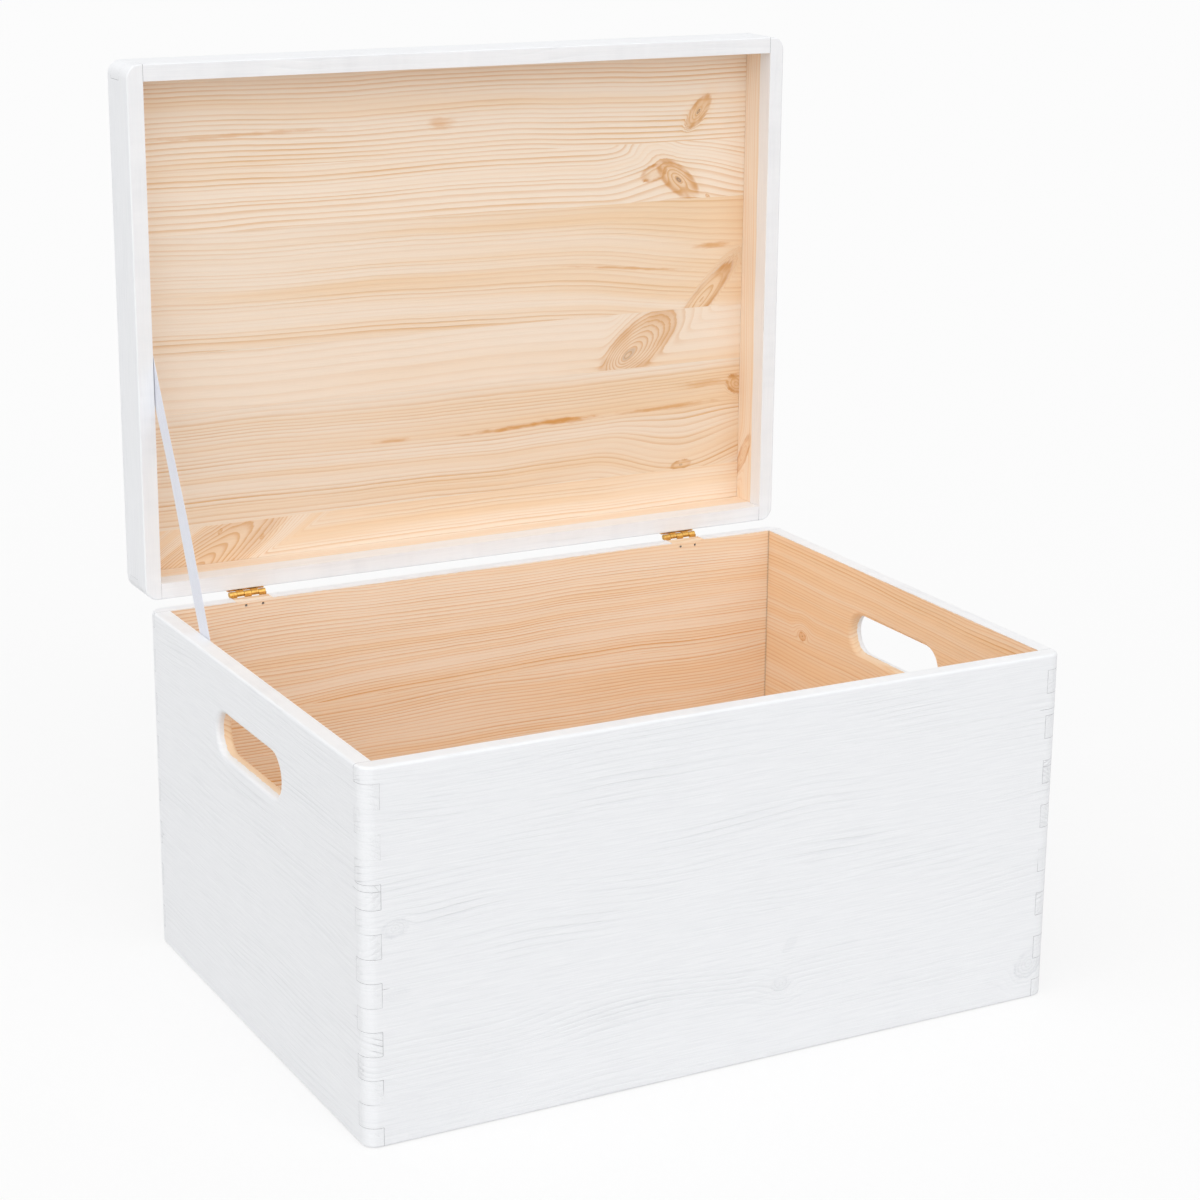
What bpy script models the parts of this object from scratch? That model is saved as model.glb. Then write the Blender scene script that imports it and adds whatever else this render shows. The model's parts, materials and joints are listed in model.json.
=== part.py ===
"""Pine storage chest with finger-jointed corners and a framed lid held open by a ribbon.

Metres, +Z up. The origin is the middle of the underside, X runs along the width, the front faces -Y
and the hinges are at +Y. The lid is drawn closed and turned open about the hinge axis.
"""

import math
from itertools import accumulate

import bmesh
import bpy
from mathutils import Matrix, Vector

for old in list(bpy.data.objects):
    bpy.data.objects.remove(old, do_unlink=True)

# Carcass
WIDTH = 0.400
DEPTH = 0.290
BOX_HEIGHT = 0.194
WALL = 0.009
CORNER_RADIUS = 0.0075
RIM_EASE = 0.0016
BASE_EASE = 0.0012
GAP = 0.0002

# Finger joints, counted upwards from the base
BASE_FINGER = 0.0101
RIM_FINGER = 0.0085
FINGERS_BETWEEN = 14

# Each wall is glued up from three boards: the top one has its own height, the two below share the rest
FRONT_TOP_BOARD = 0.030
BACK_TOP_BOARD = 0.066
END_TOP_BOARD = 0.062

# Hand slots in the two ends
SLOT_LENGTH = 0.088
SLOT_HEIGHT = 0.0235
SLOT_DROP = 0.0385
SLOT_EASE = 0.0025

# Bottom panel, let into a rebate from below
BOTTOM = 0.004
LIP = 0.004
BRAD_RADIUS = 0.0006
BRAD_LENGTH = 0.014
BRAD_POINT = 0.001
BRAD_SPACING = 0.128
END_BRAD_SPACING = 0.1276

# Lid, whose panel boards are given from the hinges forward, with the last one taking the rest
LID_HEIGHT = 0.0325
LID_PANEL = 0.0055
LID_TOP_EASE = 0.003
LID_RIM_EASE = 0.0008
RIM_GAP = 0.0015
LID_BOARDS = (0.031, 0.0653, 0.0331, 0.0655)
LID_OPEN = math.radians(90.0)

# Hinges
LEFT_HINGE_INSET = 0.0584
RIGHT_HINGE_INSET = 0.0656
HINGE_LENGTH = 0.0214
HINGE_SETBACK = 0.0023
BARREL_RADIUS = 0.0016
PIN_RADIUS = 0.0008
PIN_PLAY = 0.0001
LEAF = 0.0008
LEAF_HEIGHT = 0.0078
KNUCKLES = 5
NOTCH = 0.0006
NAIL_RADIUS = 0.00055
NAIL_SPREAD = 0.00495
NAIL_DROP = 0.0036
NAIL_PROUD = 0.0005
NAIL_HEAD = 0.0005
NAIL_POINT = 0.0012
LID_NAIL_BITE = 0.0065

# Ribbon, measured where its middle passes the two rims
RIBBON_WIDTH = 0.0135
RIBBON = 0.0004
RIBBON_FORWARD = 0.0534
RIBBON_UP = 0.1218
BOX_TAIL = 0.017
LID_TAIL = 0.027
STAPLE_INSET = 0.007
STAPLE_CROWN = 0.008
STAPLE_LEG = 0.006
STAPLE_RADIUS = 0.00035

OVER = 0.010
HALF_W = WIDTH / 2
HALF_D = DEPTH / 2
HINGE_X = (-HALF_W + LEFT_HINGE_INSET, HALF_W - RIGHT_HINGE_INSET)
AXIS = Vector((0.0, HALF_D + HINGE_SETBACK, BOX_HEIGHT + RIM_GAP / 2))
LID_BASE = BOX_HEIGHT + RIM_GAP
LID_TOP = LID_BASE + LID_HEIGHT
FINGER = (BOX_HEIGHT - BASE_FINGER - RIM_FINGER) / FINGERS_BETWEEN


def new_collection(name):
    collection = bpy.data.collections.new(name)
    bpy.context.scene.collection.children.link(collection)
    return collection


PARTS = new_collection("storage_chest")
CUTTERS = new_collection("storage_chest_cutters")


def new_material(name, colour, roughness, metallic=0.0):
    material = bpy.data.materials.new(name)
    material.use_nodes = True
    shader = material.node_tree.nodes["Principled BSDF"]
    shader.inputs["Base Color"].default_value = (*colour, 1.0)
    shader.inputs["Roughness"].default_value = roughness
    shader.inputs["Metallic"].default_value = metallic
    return material


PAINTED = new_material("painted_pine", (0.86, 0.86, 0.87), 0.5)
PINE = new_material("natural_pine", (0.80, 0.60, 0.42), 0.6)
PLYWOOD = new_material("plywood", (0.76, 0.60, 0.43), 0.65)
BRASS = new_material("brass", (0.72, 0.50, 0.18), 0.3, 1.0)
STEEL = new_material("steel", (0.45, 0.45, 0.46), 0.35, 1.0)
SATIN = new_material("satin_ribbon", (0.84, 0.85, 0.90), 0.4)

LID = bpy.data.objects.new("lid_pivot", None)
PARTS.objects.link(LID)
LID.location = AXIS
LID.rotation_euler.x = -LID_OPEN


def place(name, mesh, middle, material=None, on_lid=False):
    """Link a mesh as a part, or as a cutter where it has no material."""
    thing = bpy.data.objects.new(name, mesh)
    if material:
        PARTS.objects.link(thing)
        mesh.materials.append(material)
    else:
        CUTTERS.objects.link(thing)
        thing.hide_render = True
        thing.display_type = "WIRE"
    thing.location = Vector(middle)
    if on_lid:
        thing.parent = LID
        thing.location = Vector(middle) - AXIS
    return thing


def blocks(name, boxes, material=None, on_lid=False):
    """Rectangular blocks, each between two corners, in one object at the middle of the first."""
    middle = (Vector(boxes[0][0]) + Vector(boxes[0][1])) / 2
    mesh = bpy.data.meshes.new(name)
    bm = bmesh.new()
    for low, high in boxes:
        low = Vector(low)
        high = Vector(high)
        size = Matrix.Diagonal((*(high - low), 1.0))
        bmesh.ops.create_cube(bm, size=1.0, matrix=Matrix.Translation((low + high) / 2 - middle) @ size)
    bm.to_mesh(mesh)
    bm.free()
    return place(name, mesh, middle, material, on_lid)


def rounded_block(name, low, high, base_ease, top_ease, on_lid=False):
    """The outer form of the box or the lid: upright corners rounded, edges eased."""
    size = Vector(high) - Vector(low)
    mesh = bpy.data.meshes.new(name)
    bm = bmesh.new()
    bmesh.ops.create_cube(bm, size=1.0, matrix=Matrix.Diagonal((*size, 1.0)))
    upright = [e for e in bm.edges if abs(e.verts[0].co.z - e.verts[1].co.z) > size.z / 2]
    bmesh.ops.bevel(bm, geom=upright, offset=CORNER_RADIUS, segments=8, profile=0.5, affect="EDGES")
    for level, ease in ((-size.z / 2, base_ease), (size.z / 2, top_ease)):
        rim = [e for e in bm.edges if all(abs(v.co.z - level) < GAP / 10 for v in e.verts)]
        bmesh.ops.bevel(bm, geom=rim, offset=ease, segments=3, profile=0.5, affect="EDGES")
    bm.to_mesh(mesh)
    bm.free()
    return place(name, mesh, (Vector(low) + Vector(high)) / 2, None, on_lid)


def turned(name, profile, steps):
    """The mesh of a profile of (radius, height) points turned about Z, drawn from top to bottom."""
    outline = bpy.data.meshes.new(name)
    bm = bmesh.new()
    points = [bm.verts.new((radius, 0.0, height)) for radius, height in profile]
    for upper, lower in zip(points, points[1:]):
        bm.edges.new((upper, lower))
    bm.to_mesh(outline)
    bm.free()
    thing = bpy.data.objects.new(name, outline)
    CUTTERS.objects.link(thing)
    screw = thing.modifiers.new("turn", "SCREW")
    screw.axis = "Z"
    screw.steps = steps
    screw.render_steps = steps
    screw.use_merge_vertices = True
    screw.merge_threshold = 0.00001
    bpy.context.view_layer.update()
    mesh = bpy.data.meshes.new_from_object(thing.evaluated_get(bpy.context.evaluated_depsgraph_get()))
    bpy.data.objects.remove(thing, do_unlink=True)
    bpy.data.meshes.remove(outline)
    return mesh


def copies(name, mesh, places, material=None, on_lid=False):
    """Separate copies of one mesh in one object, each put in place by a matrix."""
    middle = places[0].to_translation()
    joined = bpy.data.meshes.new(name)
    bm = bmesh.new()
    for matrix in places:
        before = len(bm.verts)
        bm.from_mesh(mesh)
        bm.verts.ensure_lookup_table()
        bmesh.ops.transform(bm, matrix=Matrix.Translation(-middle) @ matrix, verts=bm.verts[before:])
    bmesh.ops.recalc_face_normals(bm, faces=bm.faces)
    bm.to_mesh(joined)
    bm.free()
    joined.shade_smooth()
    joined.set_sharp_from_angle(angle=math.radians(35))
    return place(name, joined, middle, material, on_lid)


def one_each(name, mesh, places, material, on_lid=False):
    """A numbered part at each place."""
    for i, matrix in enumerate(places):
        copies(f"{name}_{i + 1}", mesh, [matrix], material, on_lid)


def rod_along(direction, radius, length, steps=16):
    """A plain cylinder mesh along X or Y, and the matrix that turns it there from Z."""
    half = length / 2
    mesh = turned("rod", [(0.0, half), (radius, half), (radius, -half), (0.0, -half)], steps)
    return mesh, Vector((0.0, 0.0, 1.0)).rotation_difference(Vector(direction)).to_matrix().to_4x4()


def boolean(thing, tool, operation="DIFFERENCE"):
    modifier = thing.modifiers.new(tool.name, "BOOLEAN")
    modifier.operation = operation
    modifier.solver = "EXACT"
    modifier.object = tool


def finger_bounds():
    """Heights between the fingers of the box corners, from the base to the rim."""
    return [0.0] + [BASE_FINGER + FINGER * i for i in range(FINGERS_BETWEEN + 1)] + [BOX_HEIGHT]


def combs(prefix, bounds, on_lid=False):
    """Cutters for the joints: even fingers belong to the ends, odd ones to the front and back."""
    for_long = []
    for_ends = []
    last = len(bounds) - 2
    for i, (low, high) in enumerate(zip(bounds, bounds[1:])):
        low = low - OVER if i == 0 else low
        high = high + OVER if i == last else high
        for side in (-1, 1):
            if i % 2 == 0:
                x = sorted((side * (HALF_W + OVER), side * (HALF_W - WALL - GAP)))
                for_long.append(((x[0], -DEPTH, low - GAP), (x[1], DEPTH, high + GAP)))
            else:
                y = sorted((side * (HALF_D + OVER), side * (HALF_D - WALL - GAP)))
                for_ends.append(((-WIDTH, y[0], low), (WIDTH, y[1], high)))
    return (
        blocks(prefix + "_comb_long", for_long, None, on_lid),
        blocks(prefix + "_comb_ends", for_ends, None, on_lid),
    )


def wall_span(wall):
    """The slab of one wall as X and Y ranges, running past the outer faces."""
    x = (-HALF_W - OVER / 2, HALF_W + OVER / 2)
    y = (-HALF_D - OVER / 2, HALF_D + OVER / 2)
    return {
        "front": (x, (y[0], -HALF_D + WALL)),
        "back": (x, (HALF_D - WALL, y[1])),
        "left": ((x[0], -HALF_W + WALL), y),
        "right": ((HALF_W - WALL, x[1]), y),
    }[wall]


def board_levels(top_board):
    """Heights that part a wall's boards, running past the base and the rim."""
    upper = BOX_HEIGHT - top_board
    return [-OVER / 2, upper / 2, upper, BOX_HEIGHT + OVER / 2]


def slot_outline(grow, steps=10):
    """A slot's outline in Y and Z, grown outwards by an amount."""
    radius = SLOT_HEIGHT / 2 + grow
    straight = (SLOT_LENGTH - SLOT_HEIGHT) / 2
    points = []
    for side in (1, -1):
        for i in range(steps + 1):
            turn = -math.pi / 2 + math.pi * i / steps
            points.append((side * (straight + radius * math.cos(turn)), side * radius * math.sin(turn)))
    return points


def slot_cutter(name, outer):
    """A hand slot through an end, its edges eased on both faces."""
    inward = -1 if outer > 0 else 1
    ease = [(SLOT_EASE * (1 - math.cos(a)), SLOT_EASE * (1 - math.sin(a))) for a in
            (math.pi / 2 * i / 4 for i in range(5))]
    rings = [(-OVER / 2, SLOT_EASE)]
    rings += [(depth, grow) for depth, grow in ease]
    rings += [(WALL - depth, grow) for depth, grow in reversed(ease)]
    rings += [(WALL + OVER / 2, SLOT_EASE)]
    mesh = bpy.data.meshes.new(name)
    bm = bmesh.new()
    loops = []
    for depth, grow in rings:
        loops.append([bm.verts.new((inward * depth, y, z)) for y, z in slot_outline(grow)])
    count = len(loops[0])
    for near, far in zip(loops, loops[1:]):
        for i in range(count):
            j = (i + 1) % count
            bm.faces.new((near[i], near[j], far[j], far[i]))
    bm.faces.new(loops[0])
    bm.faces.new(loops[-1])
    bmesh.ops.recalc_face_normals(bm, faces=bm.faces)
    bm.to_mesh(mesh)
    bm.free()
    return place(name, mesh, (outer, 0.0, BOX_HEIGHT - SLOT_DROP))


# Carcass boards
box_form = rounded_block(
    "box_form", (-HALF_W, -HALF_D, 0.0), (HALF_W, HALF_D, BOX_HEIGHT), BASE_EASE, RIM_EASE
)
comb_long, comb_ends = combs("box", finger_bounds())
rebate = blocks(
    "bottom_rebate",
    [((-HALF_W + LIP, -HALF_D + LIP, -OVER), (HALF_W - LIP, HALF_D - LIP, BOTTOM + GAP))],
)

boards = {}
top_boards = {"front": FRONT_TOP_BOARD, "back": BACK_TOP_BOARD, "left": END_TOP_BOARD, "right": END_TOP_BOARD}
for wall, top_board in top_boards.items():
    (x0, x1), (y0, y1) = wall_span(wall)
    levels = board_levels(top_board)
    for i, (low, high) in enumerate(zip(levels, levels[1:])):
        board = blocks(
            f"{wall}_board_{i + 1}",
            [((x0, y0, low + GAP / 2), (x1, y1, high - GAP / 2))],
            PAINTED,
        )
        boolean(board, box_form, "INTERSECT")
        boolean(board, comb_long if wall in ("front", "back") else comb_ends)
        boards[wall, i] = board
    boolean(boards[wall, 0], rebate)

for wall, outer in (("left", -HALF_W), ("right", HALF_W)):
    boolean(boards[wall, 2], slot_cutter(f"{wall}_slot", outer))

# Bottom panel and its brads
bottom = blocks(
    "bottom_panel",
    [
        (
            (-HALF_W + LIP + GAP, -HALF_D + LIP + GAP, 0.0),
            (HALF_W - LIP - GAP, HALF_D - LIP - GAP, BOTTOM),
        )
    ],
    PLYWOOD,
)


def brad_mesh(name, extra):
    """A flat-headed brad standing point up, its head flush with the underside."""
    shank = BRAD_RADIUS + extra
    head = 2 * BRAD_RADIUS + extra
    top = BRAD_LENGTH + extra
    profile = [
        (0.0, top),
        (shank * 0.6, top),
        (shank, top - BRAD_POINT),
        (shank, BRAD_RADIUS + extra),
        (head, BRAD_RADIUS + extra),
        (head, 0.0 if extra == 0.0 else -OVER / 2),
        (0.0, 0.0 if extra == 0.0 else -OVER / 2),
    ]
    return turned(name, profile, 10)


seat = (LIP + WALL) / 2
brad_places = []
for side in (-1, 1):
    for step in (-1, 0, 1):
        brad_places.append(Matrix.Translation((step * BRAD_SPACING, side * (HALF_D - seat), 0.0)))
    for step in (-0.5, 0.5):
        brad_places.append(Matrix.Translation((side * (HALF_W - seat), step * END_BRAD_SPACING, 0.0)))
one_each("bottom_brad", brad_mesh("brad", 0.0), brad_places, STEEL)
brad_holes = copies("brad_holes", brad_mesh("brad_hole", GAP), brad_places)
boolean(bottom, brad_holes)
for wall in ("front", "back", "left", "right"):
    boolean(boards[wall, 0], brad_holes)

# Lid frame and boards
lid_form = rounded_block(
    "lid_form", (-HALF_W, -HALF_D, LID_BASE), (HALF_W, HALF_D, LID_TOP), LID_RIM_EASE, LID_TOP_EASE, True
)
lid_bounds = [LID_BASE, LID_BASE + FINGER, LID_BASE + 2 * FINGER, LID_TOP]
lid_comb_long, lid_comb_ends = combs("lid", lid_bounds, True)
panel_floor = LID_TOP - LID_PANEL
lid_rebate = blocks(
    "lid_rebate",
    [((-HALF_W + LIP, -HALF_D + LIP, panel_floor - GAP), (HALF_W - LIP, HALF_D - LIP, LID_TOP + OVER))],
    None,
    True,
)
rails = {}
for wall in ("front", "back", "left", "right"):
    (x0, x1), (y0, y1) = wall_span(wall)
    rail = blocks(
        f"lid_{wall}_rail",
        [((x0, y0, LID_BASE - OVER / 2), (x1, y1, LID_TOP + OVER / 2))],
        PAINTED,
        True,
    )
    boolean(rail, lid_form, "INTERSECT")
    boolean(rail, lid_comb_long if wall in ("front", "back") else lid_comb_ends)
    boolean(rail, lid_rebate)
    rails[wall] = rail

inset = LIP + GAP
levels = [HALF_D - inset] + [HALF_D - reach for reach in accumulate(LID_BOARDS)] + [-HALF_D + inset]
for i, (back, front) in enumerate(zip(levels, levels[1:])):
    near = front + GAP / 2
    far = back - GAP / 2
    blocks(
        f"lid_board_{i + 1}",
        [((-HALF_W + inset, near, panel_floor), (HALF_W - inset, far, LID_TOP))],
        PINE,
        True,
    )

# Hinges: leaves on the outer back faces, barrels level with the gap between box and lid
leaf_in = HALF_D + GAP
leaf_out = leaf_in + LEAF
knuckle = HINGE_LENGTH / KNUCKLES
for side, hinge_x in zip(("left", "right"), HINGE_X):
    start = hinge_x - HINGE_LENGTH / 2
    end = hinge_x + HINGE_LENGTH / 2
    notch = blocks(
        f"{side}_hinge_notch",
        [
            (
                (start - GAP, HALF_D - WALL - OVER, BOX_HEIGHT - NOTCH),
                (end + GAP, HALF_D + OVER, BOX_HEIGHT + OVER),
            )
        ],
    )
    boolean(boards["back", 2], notch)

    for half, sign, first, on_lid in (("box", -1, 0, False), ("lid", 1, 1, True)):
        name = f"{side}_hinge_{half}"
        z = sorted((AXIS.z, AXIS.z + sign * LEAF_HEIGHT))
        leaf = blocks(f"{name}_leaf", [((start, leaf_in, z[0]), (end, leaf_out, z[1]))], BRASS, on_lid)
        reach = BARREL_RADIUS + 1.5 * GAP
        spaces = []
        for i in range(1 - first, KNUCKLES, 2):
            low = (start + i * knuckle - GAP / 2, HALF_D - OVER, AXIS.z - reach)
            high = (start + (i + 1) * knuckle + GAP / 2, HALF_D + OVER, AXIS.z + reach)
            spaces.append((low, high))
        boolean(leaf, blocks(f"{name}_spaces", spaces, None, on_lid))
        tube, turn = rod_along((1.0, 0.0, 0.0), BARREL_RADIUS, knuckle - GAP, 20)
        places = [
            Matrix.Translation((start + (i + 0.5) * knuckle, AXIS.y, AXIS.z)) @ turn
            for i in range(first, KNUCKLES, 2)
        ]
        boolean(leaf, copies(f"{name}_knuckles", tube, places, None, on_lid), "UNION")
        bore, turn = rod_along((1.0, 0.0, 0.0), PIN_RADIUS + PIN_PLAY, HINGE_LENGTH + OVER, 20)
        hole_place = [Matrix.Translation((hinge_x, AXIS.y, AXIS.z)) @ turn]
        boolean(leaf, copies(f"{name}_bore", bore, hole_place, None, on_lid))
        leaf.data.shade_smooth()
        leaf.data.set_sharp_from_angle(angle=math.radians(35))

    ease = PIN_RADIUS / 3
    half_pin = HINGE_LENGTH / 2 + GAP
    pin_profile = [
        (0.0, half_pin),
        (PIN_RADIUS - ease, half_pin),
        (PIN_RADIUS, half_pin - ease),
        (PIN_RADIUS, -half_pin + ease),
        (PIN_RADIUS - ease, -half_pin),
        (0.0, -half_pin),
    ]
    pin = turned("pin", pin_profile, 16)
    turn = rod_along((1.0, 0.0, 0.0), PIN_RADIUS, HINGE_LENGTH)[1]
    copies(f"{side}_hinge_pin", pin, [Matrix.Translation((hinge_x, AXIS.y, AXIS.z)) @ turn], BRASS)


def nail_mesh(name, bite, extra):
    """A hinge nail lying along +Z with its head at the top; the leaf's outer face is at zero."""
    shank = NAIL_RADIUS + extra
    head = 2 * NAIL_RADIUS
    tip = -LEAF - GAP - bite - extra
    if extra:
        profile = [(0.0, OVER), (shank, OVER), (shank, tip), (0.0, tip)]
    else:
        profile = [
            (0.0, GAP + NAIL_HEAD),
            (head * 0.6, GAP + NAIL_HEAD * 0.85),
            (head, GAP + NAIL_HEAD * 0.3),
            (head, GAP),
            (shank, GAP),
            (shank, tip + NAIL_POINT),
            (shank * 0.3, tip),
            (0.0, tip),
        ]
    return turned(name, profile, 12)


to_back = Vector((0.0, 0.0, 1.0)).rotation_difference(Vector((0.0, 1.0, 0.0))).to_matrix().to_4x4()
for half, sign, bite, wood, on_lid in (
    ("box", -1, WALL + NAIL_PROUD, boards["back", 2], False),
    ("lid", 1, LID_NAIL_BITE, rails["back"], True),
):
    places = [
        Matrix.Translation((hinge_x + step * NAIL_SPREAD, leaf_out, AXIS.z + sign * NAIL_DROP)) @ to_back
        for hinge_x in HINGE_X
        for step in (-1, 1)
    ]
    one_each(f"hinge_nail_{half}", nail_mesh("nail", bite, 0.0), places, STEEL, on_lid)
    holes = copies(f"hinge_nail_holes_{half}", nail_mesh("nail_hole", bite, GAP), places, None, on_lid)
    boolean(wood, holes)
    for side in ("left", "right"):
        boolean(bpy.data.objects[f"{side}_hinge_{half}_leaf"], holes)

# Ribbon: straight between the two left inner faces, with a tail stapled down at each end
rim_y = AXIS.y + RIM_GAP / 2
box_point = Vector((0.0, HALF_D - WALL - RIBBON_FORWARD, BOX_HEIGHT))
lid_point = Vector((0.0, rim_y, AXIS.z + RIBBON_UP))
along = (lid_point - box_point).normalized()
box_end = box_point - along * BOX_TAIL
lid_end = lid_point + along * LID_TAIL
ribbon_length = (lid_end - box_end).length
tilt = math.atan2(along.y, along.z)
inner_x = -HALF_W + WALL
ribbon_x = inner_x + GAP + RIBBON / 2
ribbon_middle = (box_end + lid_end) / 2
ribbon_middle.x = ribbon_x
ribbon = blocks(
    "ribbon_stay",
    [
        (
            ribbon_middle - Vector((RIBBON, RIBBON_WIDTH, ribbon_length)) / 2,
            ribbon_middle + Vector((RIBBON, RIBBON_WIDTH, ribbon_length)) / 2,
        )
    ],
    SATIN,
)
ribbon.rotation_euler.x = -tilt


def staple_mesh(name, radius, crown_x, leg_end):
    """A wire staple: a crown across the ribbon and two legs along -X."""
    wire = bpy.data.curves.new(name, "CURVE")
    wire.dimensions = "3D"
    wire.bevel_depth = radius
    wire.bevel_resolution = 1
    wire.use_fill_caps = True
    spline = wire.splines.new("POLY")
    spline.points.add(3)
    half = STAPLE_CROWN / 2
    corners = [(leg_end, -half), (crown_x, -half), (crown_x, half), (leg_end, half)]
    for point, (x, y) in zip(spline.points, corners):
        point.co = (x, y, 0.0, 1.0)
    thing = bpy.data.objects.new(name, wire)
    CUTTERS.objects.link(thing)
    bpy.context.view_layer.update()
    mesh = bpy.data.meshes.new_from_object(thing.evaluated_get(bpy.context.evaluated_depsgraph_get()))
    bpy.data.objects.remove(thing, do_unlink=True)
    bpy.data.curves.remove(wire)
    bm = bmesh.new()
    bm.from_mesh(mesh)
    bmesh.ops.remove_doubles(bm, verts=bm.verts, dist=0.000001)
    bm.to_mesh(mesh)
    bm.free()
    return mesh


crown_x = RIBBON / 2 + GAP + STAPLE_RADIUS
leg_end = -RIBBON / 2 - GAP - STAPLE_LEG
staple_wire = staple_mesh("staple", STAPLE_RADIUS, crown_x, leg_end)
hole_ends = (leg_end - GAP, crown_x + OVER)
hole_middle = Vector((sum(hole_ends) / 2, 0.0, 0.0))
leg_hole, leg_turn = rod_along((1.0, 0.0, 0.0), STAPLE_RADIUS + GAP, hole_ends[1] - hole_ends[0], 12)
across = Vector((0.0, math.cos(tilt), -math.sin(tilt)))
swing = Matrix.Rotation(-tilt, 4, "X")
for half, end, inward, wood in (
    ("box", box_end, 1.0, boards["left", 2]),
    ("lid", lid_end, -1.0, rails["left"]),
):
    spot = end + along * (inward * STAPLE_INSET)
    spot.x = ribbon_x
    centre = spot.copy()
    turn = swing.copy()
    hole_across = across.copy()
    if half == "lid":
        # The lid is drawn closed, so its staple is turned down with it about the hinge axis
        close = Matrix.Rotation(LID_OPEN, 4, "X")
        centre = AXIS + close @ (spot - AXIS)
        turn = close @ swing
        hole_across = close @ across
    copies(f"ribbon_staple_{half}", staple_wire, [Matrix.Translation(centre) @ turn], STEEL, half == "lid")
    places = [
        Matrix.Translation(centre + hole_middle + hole_across * (step * STAPLE_CROWN / 2)) @ leg_turn
        for step in (-1, 1)
    ]
    holes = copies(f"ribbon_staple_{half}_holes", leg_hole, places, None, half == "lid")
    boolean(wood, holes)
    boolean(ribbon, holes)
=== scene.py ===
import json
import math
from bisect import bisect
from dataclasses import dataclass

import bmesh
import bpy
from mathutils import Matrix, Vector


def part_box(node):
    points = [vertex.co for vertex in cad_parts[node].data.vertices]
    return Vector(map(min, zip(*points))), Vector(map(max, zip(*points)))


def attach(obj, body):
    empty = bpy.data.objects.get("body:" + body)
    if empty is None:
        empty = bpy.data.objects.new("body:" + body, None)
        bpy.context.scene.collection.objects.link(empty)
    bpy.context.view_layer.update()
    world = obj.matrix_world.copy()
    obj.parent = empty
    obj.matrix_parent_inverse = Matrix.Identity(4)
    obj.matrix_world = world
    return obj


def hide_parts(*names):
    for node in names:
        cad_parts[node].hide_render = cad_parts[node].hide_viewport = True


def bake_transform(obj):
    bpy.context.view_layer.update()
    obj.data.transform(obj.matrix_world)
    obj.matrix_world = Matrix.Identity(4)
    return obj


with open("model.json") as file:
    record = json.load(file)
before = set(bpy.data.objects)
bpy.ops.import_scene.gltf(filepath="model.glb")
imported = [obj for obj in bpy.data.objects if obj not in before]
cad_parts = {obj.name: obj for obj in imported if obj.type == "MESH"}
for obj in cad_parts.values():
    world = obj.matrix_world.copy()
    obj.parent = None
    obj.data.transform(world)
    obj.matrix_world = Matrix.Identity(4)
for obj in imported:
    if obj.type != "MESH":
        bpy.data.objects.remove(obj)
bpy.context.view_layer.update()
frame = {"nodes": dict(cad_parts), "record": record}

scene = bpy.context.scene
scene.view_settings.view_transform = "Standard"
nodes = frame["nodes"]

MM = 1000.0
LONG_WALLS = ("front", "back")
WALLS = (*LONG_WALLS, "left", "right")

# Sizes read from the frame, in millimetres
HALF_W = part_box("front_board_1")[1].x * MM
HALF_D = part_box("left_board_1")[1].y * MM
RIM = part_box("front_board_3")[1].z * MM
WALL = (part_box("front_board_2")[1].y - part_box("front_board_2")[0].y) * MM
AXIS = Vector(frame["record"]["behaviour"]["joints"][0]["pos_m"]) * MM
LID_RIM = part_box("lid_front_rail")[0].y * MM
LID_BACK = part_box("lid_back_rail")[0].z * MM
LID_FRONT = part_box("lid_front_rail")[1].z * MM
LID_MIDDLE = (LID_BACK + LID_FRONT) / 2
PANEL_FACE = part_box("lid_board_3")[0].y * MM
PANEL_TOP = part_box("lid_board_3")[1].y * MM
HINGE_LEAVES = ("left_hinge_box_leaf", "right_hinge_box_leaf")
HINGE_SPANS = [[corner.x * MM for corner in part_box(leaf)] for leaf in HINGE_LEAVES]

# Sizes of the joints and slots, which the frame's boxes don't give, in millimetres
SLOT_MIDDLE = 155.5
SLOT_REACH_ALONG = 47.0
SLOT_REACH_UP = 14.5
BASE_FINGER = 10.1
RIM_FINGER = 8.5
FINGERS_BETWEEN = 14
FINGER = (RIM - BASE_FINGER - RIM_FINGER) / FINGERS_BETWEEN
CORNER_RADIUS = 7.5
RIM_EASE = 1.6
BASE_EASE = 1.2
LID_RIM_EASE = 0.8
LID_TOP_EASE = 3.0
LIP = 4.0
BOTTOM = 4.0
GAP = 0.2

# How far bare wood reaches past the inner faces, and how much further in the slots, in millimetres
BARE_PAST_FACE = 0.35
BARE_IN_SLOT = 4.7

# Where the coarser relief of the end grain begins and where it is full, in millimetres past a board's end
END_GRAIN = (-1.2, -0.4)

# Depth of the relief that a shader adds, in metres for each unit of height
WOOD_RELIEF = 0.00015
VENEER_RELIEF = 0.00006
THREAD_RELIEF = 0.00003


# Colours
def srgb(red, green, blue):
    """A colour given as screen values from 0 to 255, as linear light."""
    linear = []
    for value in (red, green, blue):
        share = value / 255
        linear.append(share / 12.92 if share <= 0.04045 else ((share + 0.055) / 1.055) ** 2.4)
    return (*linear, 1.0)


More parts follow.
